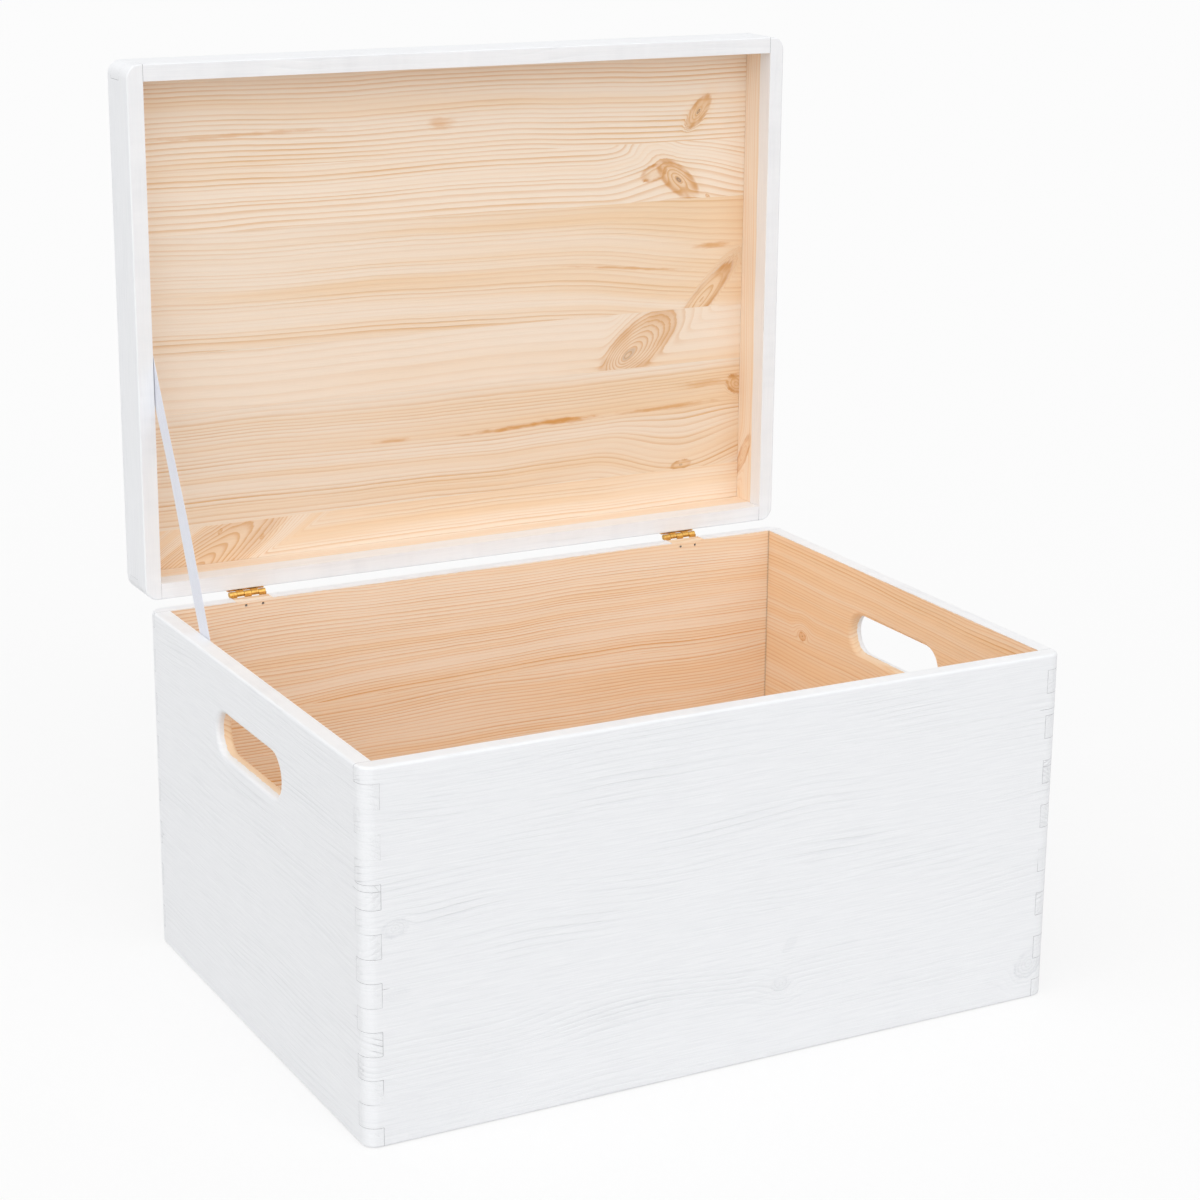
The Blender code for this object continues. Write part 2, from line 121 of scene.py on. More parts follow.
WHITE = (1.0, 1.0, 1.0, 1.0)
PAINT_WHITE = srgb(249, 250, 252)
PAINT_SHADE = srgb(222, 224, 228)
# Grey that is painted shade, standing for the gap of a joint that stands open
OPEN_JOINT_SHADE = srgb(150, 150, 154)
PALE_PINE = srgb(252, 236, 218)
WARM_PINE = srgb(249, 219, 184)
LATE_PINE = srgb(228, 178, 120)
KNOT_PINE = srgb(232, 184, 130)
KNOT_EDGE = srgb(213, 152, 86)
KNOT_DARK = srgb(120, 74, 46)
RESIN = srgb(222, 160, 88)
BRASS = srgb(222, 176, 98)
BRASS_DARK = srgb(168, 122, 58)
STEEL = srgb(190, 190, 192)
STEEL_DARK = srgb(140, 140, 144)
SATIN = srgb(243, 245, 252)
SATIN_SHADE = srgb(222, 225, 238)


# Node trees
class Wire:
    """A number on its way through a node tree: arithmetic on it adds Math nodes."""

    def __init__(self, tree, socket):
        self.tree = tree
        self.socket = socket

    def math(self, operation, *others):
        """A Math node on this number and others."""
        node = self.tree.nodes.new("ShaderNodeMath")
        node.operation = operation
        for slot, value in zip(node.inputs, (self, *others)):
            feed(self.tree, slot, value)
        return Wire(self.tree, node.outputs[0])

    def __add__(self, other):
        return self.math("ADD", other)

    def __sub__(self, other):
        return self.math("SUBTRACT", other)

    def __mul__(self, other):
        return self.math("MULTIPLY", other)

    def __truediv__(self, other):
        return self.math("DIVIDE", other)

    def absolute(self):
        return self.math("ABSOLUTE")

    def least(self, other):
        return self.math("MINIMUM", other)

    def most(self, other):
        return self.math("MAXIMUM", other)

    def length(self, other):
        """The length of the arrow with this and another number as its two parts."""
        return (self * self + other * other).math("SQRT")

    def ramp(self, start, end):
        """0 up to the start, 1 from the end on and a smooth step between; the start may be the larger."""
        node = self.tree.nodes.new("ShaderNodeMapRange")
        node.interpolation_type = "SMOOTHSTEP"
        for slot, value in zip(node.inputs, (self, start, end)):
            feed(self.tree, slot, value)
        return Wire(self.tree, node.outputs[0])


def feed(tree, slot, value):
    """Link a socket or a Wire to an input, or set the input to a plain value."""
    if isinstance(value, Wire):
        value = value.socket
    if isinstance(value, bpy.types.NodeSocket):
        tree.links.new(value, slot)
    else:
        slot.default_value = value


def noise(tree, x, y, z, detail=2.0, roughness=0.5):
    """Noise about 0, within half a unit each way, at a point given by its three coordinates."""
    point = tree.nodes.new("ShaderNodeCombineXYZ")
    for slot, value in zip(point.inputs, (x, y, z)):
        feed(tree, slot, value)
    texture = tree.nodes.new("ShaderNodeTexNoise")
    texture.inputs["Scale"].default_value = 1.0
    texture.inputs["Detail"].default_value = detail
    texture.inputs["Roughness"].default_value = roughness
    tree.links.new(point.outputs[0], texture.inputs["Vector"])
    return Wire(tree, texture.outputs["Fac"]) - 0.5


def mix(tree, share, first, second):
    """A colour between two colours. The node's colour sockets come after its number and vector sockets."""
    node = tree.nodes.new("ShaderNodeMix")
    node.data_type = "RGBA"
    feed(tree, node.inputs[0], share)
    feed(tree, node.inputs[6], first)
    feed(tree, node.inputs[7], second)
    return node.outputs[2]


def brighten(tree, colour, amount):
    """A colour times one plus a varying amount."""
    node = tree.nodes.new("ShaderNodeVectorMath")
    node.operation = "SCALE"
    feed(tree, node.inputs[0], colour)
    feed(tree, node.inputs["Scale"], amount + 1.0)
    return node.outputs[0]


def add_bump(tree, shader, height, distance):
    """A relief whose height runs over about one unit, on a shader, in metres for each unit."""
    bump = tree.nodes.new("ShaderNodeBump")
    bump.inputs["Distance"].default_value = distance
    bump.inputs["Strength"].default_value = 1.0
    feed(tree, bump.inputs["Height"], height)
    tree.links.new(bump.outputs[0], shader.inputs["Normal"])


def new_material(name):
    """A material with its Principled shader and the object's own coordinates in millimetres."""
    material = bpy.data.materials.new(name)
    material.use_nodes = True
    tree = material.node_tree
    where = tree.nodes.new("ShaderNodeTexCoord")
    split = tree.nodes.new("ShaderNodeSeparateXYZ")
    tree.links.new(where.outputs["Object"], split.inputs[0])
    axes = [Wire(tree, socket) * MM for socket in split.outputs]
    return material, tree, tree.nodes["Principled BSDF"], axes


# Pine: how a board was cut, and what its face then shows
@dataclass
class Pattern:
    """Noise on a board's face: its waves for each millimetre along and across, and its finer layers."""

    along: float
    across: float
    detail: float
    roughness: float = 0.5

    def on(self, tree, along, across, place):
        """The noise at a point of the face; the place picks a slice of it."""
        return noise(tree, along * self.along, across * self.across, place, self.detail, self.roughness)


BENDS = Pattern(0.006, 0.012, detail=1.0)
WAVES = Pattern(0.022, 0.02, detail=2.0)
JAGS = Pattern(0.13, 0.55, detail=2.0)
PATCHES = Pattern(0.010, 0.05, detail=2.0)
FIBRES = Pattern(0.045, 1.7, detail=3.0, roughness=0.6)
BRUSH_MARKS = Pattern(0.035, 1.3, detail=4.0, roughness=0.65)
SHOW_THROUGH = Pattern(0.011, 0.035, detail=1.0)


@dataclass
class Knot:
    """A branch cut by the board's face: its oval in millimetres, its tilt and how many rings it has.

    With lean, the rings crowd on one side of the pith and spread on the other. The board's own rings
    pass outside the branch as seen from the heart, or, with under, on the heart's side, and merge says
    how gently they bend there. Beyond the oval the rings lie closer or wider by the spread: a small one
    carries the oval's shape further out. Tan, edge and pith colour the branch, its rim and its middle,
    hair makes the outline ragged, and show draws the rings near the branch.
    """

    along: float
    across: float
    length: float
    width: float
    tilt: float = 0.0
    rings: float = 6.0
    merge: float = 3.0
    tan: float = 0.5
    edge: float = 0.5
    pith: float = 0.6
    hair: float = 0.4
    show: float = 0.5
    lean: float = 0.0
    under: bool = False
    spread: float = 0.65


@dataclass
class Streak:
    """A streak of resin along the grain."""

    along: float
    across: float
    length: float
    width: float
    slope: float = 0.0
    strength: float = 0.8


@dataclass
class Dip:
    """A place to which the ring lines above it sink, by a depth in millimetres."""

    along: float
    across: float
    length: float
    width: float
    depth: float


@dataclass
class Board:
    """How a board was cut from its tree. The heart's place and the ring spacing are in millimetres.

    The drift is how much warmer the board gets for each millimetre along it. The shade is the share by
    which its colour is lighter or, below 0, darker.
    """

    seed: float
    heart: float
    behind: float
    spacing: float = 2.8
    slope: float = 0.0
    wander: float = 10.0
    contrast: float = 0.6
    warmth: float = 0.4
    drift: float = 0.0
    shade: float = 0.0
    knots: tuple = ()
    streaks: tuple = ()
    dips: tuple = ()


@dataclass
class Grain:
    """What a board's face shows: its bare colour, and its ring lines, fibres and knots as shares."""

    colour: object
    line: Wire
    fibre: Wire
    knot: Wire


def knot_reach(tree, along, across, wave, seed, knot):
    """How far out in a knot a point lies, 0 at the pith and 1 on the rim, and the rim's strength there."""
    turn = math.radians(knot.tilt)
    from_along = along - knot.along
    from_across = across - knot.across
    endways = (from_along * math.cos(turn) + from_across * math.sin(turn)) / knot.length
    sideways = (from_across * math.cos(turn) - from_along * math.sin(turn)) / knot.width
    # The radius divides below, so it stays above 0
    radius = endways.length(sideways) + 0.001
    end_turn = endways / radius
    side_turn = sideways / radius
    teeth = noise(tree, end_turn * 6.0, side_turn * 6.0, radius * 0.8 + seed, 2.0)
    uneven = noise(tree, end_turn * 1.3, side_turn * 1.3, seed + knot.along, 1.0) * 2.4 + 0.6
    ragged = teeth * radius.ramp(0.4, 1.1) * knot.hair
    return radius - (endways * knot.lean) + (wave * 0.25) + ragged, uneven


def rings_round(knot, board, rings, reach):
    """A board's rings, led round a knot and continued inside it."""
    heart_ring = math.hypot(knot.across + knot.along * board.slope - board.heart, board.behind)
    out = reach - 1.0
    out = out.least(0.0) + (out.most(0.0) * knot.spread)
    cone = out * (-knot.rings if knot.under else knot.rings) + heart_ring / board.spacing
    return rings.math("SMOOTH_MAX" if knot.under else "SMOOTH_MIN", cone, knot.merge)


def resin_share(along, across, wave, jag, streak):
    """How much of a streak's resin shows at a point."""
    from_along = along - streak.along
    from_across = across - streak.across + from_along * streak.slope + (wave * 2.5)
    reach = (from_along / streak.length).length(from_across / streak.width) + (jag * 1.1)
    return reach.ramp(1.0, 0.1) * streak.strength


def pine(tree, along, across, depth, board):
    """The grain of a board whose length runs along the first coordinate."""
    seed = board.seed
    slow = BENDS.on(tree, along, across, seed)
    wave = WAVES.on(tree, along, across, seed + 3.0)
    jag = JAGS.on(tree, along, across, seed + 7.0)
    side = across + (along * board.slope) + (slow * board.wander) + (wave * 1.6) - board.heart
    for dip in board.dips:
        away = ((along - dip.along) / dip.length).length((across - dip.across) / dip.width)
        side = side + (away.ramp(1.0, 0.0) * dip.depth)

    # Rings are counted from the heart; some are wider than others, and their lines are a little jagged
    rings = side.length(depth + board.behind) / board.spacing
    rings = rings + (noise(tree, rings * 0.23, seed, 0.0, 1.0) * 2.4) + (jag * 0.05)

    # Each share is 0 away from the knots, and every knot can raise it
    tan = edge = pith = near = halo = along * 0.0
    for knot in board.knots:
        reach, uneven = knot_reach(tree, along, across, wave, seed, knot)
        rings = rings_round(knot, board, rings, reach)
        inside = reach.ramp(1.2, 0.75)
        rim = reach.ramp(0.55, 0.95) * reach.ramp(1.2, 0.98)
        core = reach.ramp(0.20, 0.12) * (reach.ramp(0.04, 0.11) * 0.6 + 0.4)
        tan = tan.most(inside * (uneven * 0.5 + 0.5) * knot.tan)
        edge = edge.most(rim * uneven * knot.edge)
        pith = pith.most(core * knot.pith)
        near = near.most(reach.ramp(1.8, 0.9) * knot.show)
        halo = halo.most(reach.ramp(2.2, 0.9) * knot.tan * 0.5)

    # A ring darkens slowly through its width and ends sharply
    phase = rings.math("FRACT")
    late = (phase.ramp(0.40, 0.88) * 0.72 + (phase * 0.25)) * phase.ramp(1.0, 0.88)
    ring_strength = noise(tree, rings.math("FLOOR") * 0.37, seed, 3.0, 0.0) * 1.8 + 0.6
    patches = PATCHES.on(tree, along, across, seed + 11.0) * 1.6 + 0.85
    line = late * (ring_strength * patches).most(near)
    bands = noise(tree, along * 0.0025, rings * 0.22, seed + 17.0, 2.0) * 2.2
    warm = bands + board.warmth + along * board.drift
    fibre = FIBRES.on(tree, along, across, depth * FIBRES.across + seed)

    colour = mix(tree, warm.ramp(0.0, 1.0).most(halo), PALE_PINE, WARM_PINE)
    colour = mix(tree, tan.least(1.0), colour, KNOT_PINE)
    late_colour = mix(tree, near.least(1.0) * 0.6, LATE_PINE, KNOT_EDGE)
    colour = mix(tree, (line * (near * 0.5 + board.contrast)).least(1.0), colour, late_colour)
    for streak in board.streaks:
        colour = mix(tree, resin_share(along, across, wave, jag, streak), colour, RESIN)
    colour = mix(tree, edge.least(1.0), colour, KNOT_EDGE)
    colour = mix(tree, pith, colour, KNOT_DARK)
    return Grain(brighten(tree, colour, fibre * 0.09 + board.shade), line, fibre, tan.most(edge))


def joined(tree, share, first, second):
    """The grain of two boards, the first where the share is 0 and the second where it is 1."""
    line = first.line + (second.line - first.line) * share
    fibre = first.fibre + (second.fibre - first.fibre) * share
    knot = first.knot + (second.knot - first.knot) * share
    return Grain(mix(tree, share, first.colour, second.colour), line, fibre, knot)


# Painted and bare faces
def finish_wood(tree, shader, bare, grain, along, across, end_grain):
    """Paint and bare wood, joined by the share that is bare; the paint follows the grain under it."""
    brush = BRUSH_MARKS.on(tree, along, across, 0.0)
    showing = SHOW_THROUGH.on(tree, along, across, 5.0).ramp(-0.1, 0.25) * 0.85 + 0.15
    line = grain.line * showing
    shade = line * 0.35 + (brush * 0.80) + (grain.fibre * 0.40) + (grain.knot * 0.30)
    white = mix(tree, shade.ramp(-0.30, 0.90), PAINT_WHITE, PAINT_SHADE)
    feed(tree, shader.inputs["Base Color"], mix(tree, bare, white, grain.colour))
    feed(tree, shader.inputs["Roughness"], bare * 0.12 + 0.44 + (grain.fibre * 0.15))
    relief = (line * -1.2 + (grain.fibre * 0.5)) * (end_grain * 2.5 + 1.0) + (brush * 0.8)
    add_bump(tree, shader, relief, WOOD_RELIEF)


def outside_of(x, across_axis, middle):
    """How far a point lies outside the inner faces of the four walls, in millimetres."""
    return (x.absolute() - (HALF_W - WALL)).most((across_axis - middle).absolute() - (HALF_D - WALL))


def box_bare(tree, x, y, z, slots, notches):
    """The share of the box that is bare: inside, in the slots' inner half and under the hinges."""
    ragged = noise(tree, (x + y) * 0.35, z * 0.35, (x - y) * 0.1, 3.0)
    above_rim = z - RIM
    limit = ragged * 0.3 + BARE_PAST_FACE
    if slots:
        slot = (y.absolute() - SLOT_REACH_ALONG).most((z - SLOT_MIDDLE).absolute() - SLOT_REACH_UP)
        limit = limit + slot.ramp(0.4, 0.0) * (ragged * 1.6 + BARE_IN_SLOT)
    bare = (limit - outside_of(x, y, 0.0)).ramp(-0.15, 0.15) * (above_rim + ragged).ramp(-0.1, -0.7)
    if notches:
        notch_floor = above_rim.ramp(-0.2, -0.4) * above_rim.ramp(-0.9, -0.75)
        notch_floor = notch_floor * (y - HALF_D).ramp(-0.2, -0.4)
        for low, high in HINGE_SPANS:
            reach = (x - (low + high) / 2).absolute() - (high - low) / 2
            bare = bare.most(reach.ramp(0.4, 0.2) * notch_floor)
    return bare


def lid_bare(tree, x, y, z, along, white_band):
    """The share of the lid's frame that is bare: its inner faces, behind a white band of uneven width."""
    out = outside_of(x, z, LID_MIDDLE)
    ragged = noise(tree, along * 0.02, 0.0, 2.0, 3.0)
    band = y - LID_RIM + (ragged * 3.0) - white_band
    return out.ramp(0.4, 0.2) * band.ramp(-0.3, 0.3) * y.ramp(PANEL_FACE + 1.0, PANEL_FACE + 0.5)


def wall_material(wall, index, board):
    """A board of a box wall, with its grain along X or Y."""
    material, tree, shader, (x, y, z) = new_material(f"{wall}_pine_{index}")
    long_wall = wall in LONG_WALLS
    along, half, end = (x, HALF_D, HALF_W) if long_wall else (y, HALF_W, HALF_D)
    depth = ((y if long_wall else x).absolute() - half) * -1.0
    bare = box_bare(tree, x, y, z, slots=not long_wall, notches=(wall, index) == ("back", 3))
    grain = pine(tree, along, z, depth, board)
    # Bare wood is darker in a thin strip along each inner corner, where two walls meet
    inner_corner_line = (along.absolute() - (end - WALL)).ramp(-0.9, -0.2)
    grain.colour = brighten(tree, grain.colour, inner_corner_line * -0.35)
    finish_wood(tree, shader, bare, grain, along, z, (along.absolute() - end).ramp(*END_GRAIN))
    return material


def rail_material(wall, board, white_band):
    """A rail of the lid's frame, with its grain along its length."""
    material, tree, shader, (x, y, z) = new_material(f"lid_{wall}_pine")
    past_x = x.absolute() - HALF_W
    past_z = (z - LID_MIDDLE).absolute() - HALF_D
    along, depth, end = (x, past_z, past_x) if wall in LONG_WALLS else (z, past_x, past_z)
    bare = lid_bare(tree, x, y, z, along, white_band)
    grain = pine(tree, along, y, depth * -1.0, board)
    finish_wood(tree, shader, bare, grain, along, y, end.ramp(*END_GRAIN))
    return material


def lid_board_material(index, board):
    """A lid board: bare inside, painted on top. Its grain is placed from the lid's back edge.

    A board of SECOND_GRAIN shows another board's grain above a seam.
    """
    material, tree, shader, (x, y, z) = new_material(f"lid_board_pine_{index}")
    bare = y.ramp(PANEL_TOP - 1.0, PANEL_TOP - 1.5)
    across = z - LID_BACK
    depth = y - PANEL_FACE
    grain = pine(tree, x, across, depth, board)
    if index in SECOND_GRAIN:
        upper, seam = SECOND_GRAIN[index]
        share = across.ramp(seam - 0.1, seam + 0.1)
        grain = joined(tree, share, grain, pine(tree, x, across, depth, upper))
    finish_wood(tree, shader, bare, grain, x, across, 0.0)
    return material


def give(node, material):
    """Put one material on a node of the frame."""
    mesh = nodes[node].data
    mesh.materials.clear()
    mesh.materials.append(material)


def speck(along, across, tilt=50.0):
    """A tiny dark knot."""
    return Knot(
        along, across, 2.0, 1.0, tilt=tilt, rings=1.0, merge=1.0, tan=0.8, edge=0.8, pith=0.3,
        hair=0.0,
    )


# Grain of the lid's boards, placed from the lid's middle and its back edge in millimetres
# The shades below 0 on the four lower boards are painted shade: they darken the boards that light bounced
# from the box's inside makes brighter than the top one
LID_BOARDS = {
    1: Board(
        seed=1.7, heart=-22.0, behind=18.0, spacing=1.9, wander=6.0, contrast=0.8, shade=-0.03,
        knots=(
            Knot(
                -177.0, -4.0, 90.0, 15.0, tilt=34.0, rings=9.0, merge=1.5, tan=0.32, edge=0.28,
                pith=0.0, hair=0.14, show=0.65, spread=1.6,
            ),
            speck(-121.0, 21.0),
            speck(-139.0, 9.0),
            speck(-146.0, 27.0),
        ),
    ),
    2: Board(
        seed=9.3, heart=230.0, behind=22.0, spacing=2.4, wander=8.0, contrast=0.9, drift=0.0015,
        shade=-0.06,
        knots=(
            Knot(
                189.0, 80.0, 5.0, 7.0, tilt=60.0, rings=3.0, merge=2.0, tan=0.6, edge=0.9, pith=0.0,
                spread=2.0,
            ),
            Knot(151.0, 33.5, 6.5, 2.8, tilt=8.0, rings=1.0, merge=2.0, tan=0.6, edge=0.8, pith=0.4),
        ),
        streaks=(
            Streak(68.0, 69.0, 30.0, 2.6, slope=-0.02, strength=1.0),
            Streak(40.0, 68.0, 46.0, 1.7, slope=-0.04, strength=0.9),
            Streak(-40.0, 67.5, 18.0, 1.5, strength=0.6),
            Streak(140.0, 70.0, 48.0, 1.8, slope=-0.02, strength=0.7),
            Streak(166.0, 82.0, 24.0, 3.4, strength=0.45),
        ),
        dips=(Dip(151.0, 30.0, 66.0, 46.0, 13.0),),
    ),
    3: Board(
        seed=4.1, heart=60.0, behind=60.0, spacing=3.6, contrast=0.4, warmth=0.05, drift=0.001,
        shade=-0.03,
        knots=(
            Knot(
                113.0, 104.0, 26.0, 12.0, tilt=36.0, rings=8.5, merge=2.0, tan=0.38, edge=0.35,
                pith=0.25, hair=0.09, show=0.85, lean=0.32, spread=0.60,
            ),
        ),
    ),
    4: Board(
        seed=6.6, heart=30.0, behind=15.0, slope=0.02, contrast=0.75, warmth=0.50, drift=0.002,
        shade=-0.03,
        knots=(
            Knot(
                163.5, 134.0, 27.0, 6.0, tilt=46.0, rings=3.0, tan=0.20, edge=0.9, pith=0.0,
                hair=0.25, spread=8.0,
            ),
        ),
        streaks=(
            Streak(112.0, 157.0, 52.0, 1.2, slope=0.10, strength=0.6),
            Streak(170.0, 166.0, 16.0, 2.6, strength=0.7),
        ),
        dips=(Dip(190.0, 145.0, 130.0, 70.0, 9.0),),
    ),
    5: Board(
        seed=2.9, heart=150.0, behind=24.0, spacing=2.6, wander=8.0, contrast=0.9, warmth=0.10,
        knots=(
            Knot(
                146.5, 206.5, 15.5, 7.0, tilt=-39.0, merge=4.0, tan=0.60, edge=0.85, pith=0.7,
                hair=0.12, show=0.7, lean=-0.06,
            ),
            Knot(
                129.5, 211.5, 8.5, 4.6, tilt=15.0, rings=3.0, tan=0.30, edge=0.9, pith=0.0,
                hair=0.30, show=0.4,
            ),
            speck(166.5, 195.5, -45.0),
        ),
        dips=(Dip(146.0, 214.0, 58.0, 34.0, -10.0),),
    ),
}
# The fifth board shows a second grain above a line at this distance from the lid's back edge
UPPER_SEAM = 229.2
UPPER_BOARD = Board(
    seed=7.7, heart=130.0, behind=24.0, spacing=2.7, contrast=0.8, warmth=0.05,
    knots=(
        Knot(
            159.0, 246.0, 11.0, 4.7, tilt=50.0, rings=4.0, tan=0.80, edge=0.9, hair=0.20, show=0.4,
            under=True, spread=3.0,
        ),
    ),
    streaks=(
        Streak(-8.0, 247.5, 11.0, 5.0, strength=0.5),
        Streak(-130.0, 247.0, 80.0, 1.6, slope=-0.01, strength=0.5),
    ),
)
SECOND_GRAIN = {5: (UPPER_BOARD, UPPER_SEAM)}
for index, board in LID_BOARDS.items():
    give(f"lid_board_{index}", lid_board_material(index, board))

# Grain of the walls' boards, placed from the wall's middle and the floor in millimetres
WALL_BOARDS = {
    ("front", 1): Board(
        seed=12.0, heart=130.0, behind=20.0, spacing=3.4, wander=26.0, contrast=0.8, warmth=0.3,
        knots=(
            Knot(
                -164.0, 10.0, 46.0, 22.0, tilt=24.0, rings=9.0, merge=5.0, tan=0.2, edge=0.1,
                pith=0.0, hair=0.8,
            ),
            Knot(188.0, 20.0, 9.0, 7.0, tilt=40.0, rings=4.0, tan=0.4, edge=1.0, pith=0.5, show=1.3),
            Knot(36.0, 61.0, 6.0, 3.0, tilt=50.0, rings=3.0, edge=0.3, pith=0.3),
            Knot(31.0, 40.0, 6.0, 4.5, rings=3.0, tan=0.6, edge=0.4, pith=0.3),
            Knot(-183.0, 78.0, 7.0, 4.0, rings=4.0, tan=0.4, edge=0.2, pith=0.3),
        ),
    ),
    ("front", 2): Board(
        seed=13.0, heart=20.0, behind=25.0, spacing=3.6, wander=26.0, contrast=0.8, warmth=0.3,
        knots=(
            Knot(
                -184.0, 112.0, 7.0, 4.5, tilt=10.0, rings=4.0, merge=4.0, tan=0.4, edge=1.0,
                pith=0.5, show=1.2,
            ),
        ),
    ),
    ("front", 3): Board(
        seed=14.0, heart=60.0, behind=25.0, spacing=3.2, wander=18.0, contrast=0.8, warmth=0.3,
    ),
    ("back", 1): Board(
        seed=15.0, heart=-60.0, behind=25.0, spacing=2.0, wander=16.0, contrast=1.3, warmth=0.3,
    ),
    ("back", 2): Board(
        seed=16.0, heart=230.0, behind=25.0, spacing=1.9, wander=16.0, contrast=1.3, warmth=0.25,
    ),
    ("back", 3): Board(
        seed=17.0, heart=60.0, behind=25.0, spacing=1.8, wander=16.0, contrast=1.25, warmth=0.25,
    ),
    ("left", 1): Board(
        seed=18.0, heart=-30.0, behind=25.0, spacing=3.0, wander=20.0, contrast=0.8, warmth=0.5,
    ),
    ("left", 2): Board(
        seed=19.0, heart=160.0, behind=25.0, spacing=3.2, wander=20.0, contrast=0.8, warmth=0.5,
    ),
    ("left", 3): Board(
        seed=20.0, heart=110.0, behind=22.0, wander=20.0, contrast=0.8, warmth=0.7,
    ),
    ("right", 1): Board(
        seed=21.0, heart=-40.0, behind=25.0, spacing=2.4, contrast=0.9, warmth=0.75,
    ),
    ("right", 2): Board(
        seed=22.0, heart=170.0, behind=25.0, spacing=2.2, contrast=0.9, warmth=0.8,
    ),
    ("right", 3): Board(
        seed=23.0, heart=60.0, behind=25.0, spacing=1.9, wander=14.0, contrast=0.9, warmth=0.8,
        knots=(Knot(95.0, 138.0, 4.0, 2.6, rings=3.0, tan=0.6, edge=0.6, pith=0.5),),
    ),
}
for (wall, index), board in WALL_BOARDS.items():
    give(f"{wall}_board_{index}", wall_material(wall, index, board))


def rail_board(seed, knots=()):
    """A rail's grain: the four rails were cut alike."""
    return Board(seed=seed, heart=90.0, behind=25.0, spacing=2.4, warmth=0.2, knots=knots)


# Grain of the lid's rails, placed by the frame's own coordinates, and the width of their white band
RIGHT_RAIL_KNOT = Knot(
    235.0, 168.0, 14.0, 4.0, tilt=-30.0, rings=4.0, merge=4.0, tan=0.4, edge=0.7, pith=0.0,
)
RAILS = {
    "front": (rail_board(31.0), 12.0),
    "back": (rail_board(32.0), 13.0),
    "left": (rail_board(33.0), 11.0),
    "right": (rail_board(34.0, knots=(RIGHT_RAIL_KNOT,)), 11.0),
}
for wall, (board, white_band) in RAILS.items():
    give(f"lid_{wall}_rail", rail_material(wall, board, white_band))

# Plywood and metal
PLYWOOD = Board(seed=41.0, heart=0.0, behind=7.0, spacing=3.4, wander=60.0, contrast=0.4, warmth=0.5)


def plywood_material():
    """Rotary-cut face veneer: broad wild grain with little contrast."""
    material, tree, shader, (x, y, z) = new_material("plywood")
    grain = pine(tree, x, y, z, PLYWOOD)
    feed(tree, shader.inputs["Base Color"], grain.colour)
    feed(tree, shader.inputs["Roughness"], grain.fibre * 0.15 + 0.6)
    add_bump(tree, shader, grain.line * -0.5 + (grain.fibre * 0.5), VENEER_RELIEF)
    return material


def metal_material(name, bright, dull, roughness):
    """Plated metal with fine draw marks and small dull patches."""
    material, tree, shader, (x, y, z) = new_material(name)
    patch = noise(tree, x * 0.6, y * 0.6, z * 0.6, 3.0)
    marks = noise(tree, x * 0.3, y * 9.0, z * 9.0, 2.0)
    feed(tree, shader.inputs["Base Color"], mix(tree, (patch + marks).ramp(-0.2, 0.7), bright, dull))
    feed(tree, shader.inputs["Roughness"], patch * 0.2 + roughness + (marks * 0.1))
    shader.inputs["Metallic"].default_value = 1.0
    return material


give("bottom_panel", plywood_material())
brass = metal_material("brass", BRASS, BRASS_DARK, roughness=0.26)
steel = metal_material("steel", STEEL, STEEL_DARK, roughness=0.32)
for name in nodes:
    if name.endswith(("_leaf", "_pin")):
        give(name, brass)
    if "nail" in name or "brad" in name or "staple" in name:
        give(name, steel)

# Shading of the frame's meshes: how close corners are welded, in metres, and how steep a sharp edge is
WELD_REACH = 0.000002
SHARP_EDGE = math.radians(36.0)


def smooth_edges():
    """A modifier tree that shades smoothly across gentle edges and keeps the sharp ones."""
    tree = bpy.data.node_groups.new("smooth_gentle_edges", "GeometryNodeTree")
    tree.interface.new_socket("Geometry", in_out="INPUT", socket_type="NodeSocketGeometry")
    tree.interface.new_socket("Geometry", in_out="OUTPUT", socket_type="NodeSocketGeometry")
    start = tree.nodes.new("NodeGroupInput")
    end = tree.nodes.new("NodeGroupOutput")
    weld = tree.nodes.new("GeometryNodeMergeByDistance")
    weld.inputs["Distance"].default_value = WELD_REACH
    faces = tree.nodes.new("GeometryNodeSetShadeSmooth")
    edges = tree.nodes.new("GeometryNodeSetShadeSmooth")
    edges.domain = "EDGE"
    edges.inputs["Shade Smooth"].default_value = False
    angle = tree.nodes.new("GeometryNodeInputMeshEdgeAngle")
    steep = tree.nodes.new("FunctionNodeCompare")
    steep.inputs[1].default_value = SHARP_EDGE
    tree.links.new(start.outputs[0], weld.inputs["Geometry"])
    tree.links.new(weld.outputs[0], faces.inputs["Geometry"])
    tree.links.new(faces.outputs[0], edges.inputs["Geometry"])
    tree.links.new(angle.outputs[0], steep.inputs[0])
    tree.links.new(steep.outputs[0], edges.inputs["Selection"])
    tree.links.new(edges.outputs[0], end.inputs[0])
    return tree


gentle = smooth_edges()
for node in nodes.values():
    smooth = node.modifiers.new("smooth", "NODES")
    smooth.node_group = gentle
    weighted = node.modifiers.new("flat faces stay flat", "WEIGHTED_NORMAL")
    weighted.keep_sharp = True

# Glue and paint that fill the joints, as thin plates a little below the faces, in millimetres
FILL = 0.16
RECESS = 0.03
OUT_W = HALF_W - RECESS
OUT_D = HALF_D - RECESS
IN_W = HALF_W - WALL
IN_D = HALF_D - WALL

# Near the outer corners, stretches of the plates are painted grey as the shade of open joints: from and
# fully past these places, counted from the faces
OPEN_SHADE_NEAR_CORNER = (-14.0, -11.0)

# Where paint turns to bare glue on the lid's plates, counted from the lid's rim
LID_GLUE_BAND = (11.0, 12.0)


def arc(centre, radius, start, steps=6):
    """Points of a quarter circle, counterclockwise from an angle in degrees."""
    turns = [math.radians(start + 90.0 * i / steps) for i in range(steps + 1)]
    return [(centre[0] + radius * math.cos(turn), centre[1] + radius * math.sin(turn)) for turn in turns]


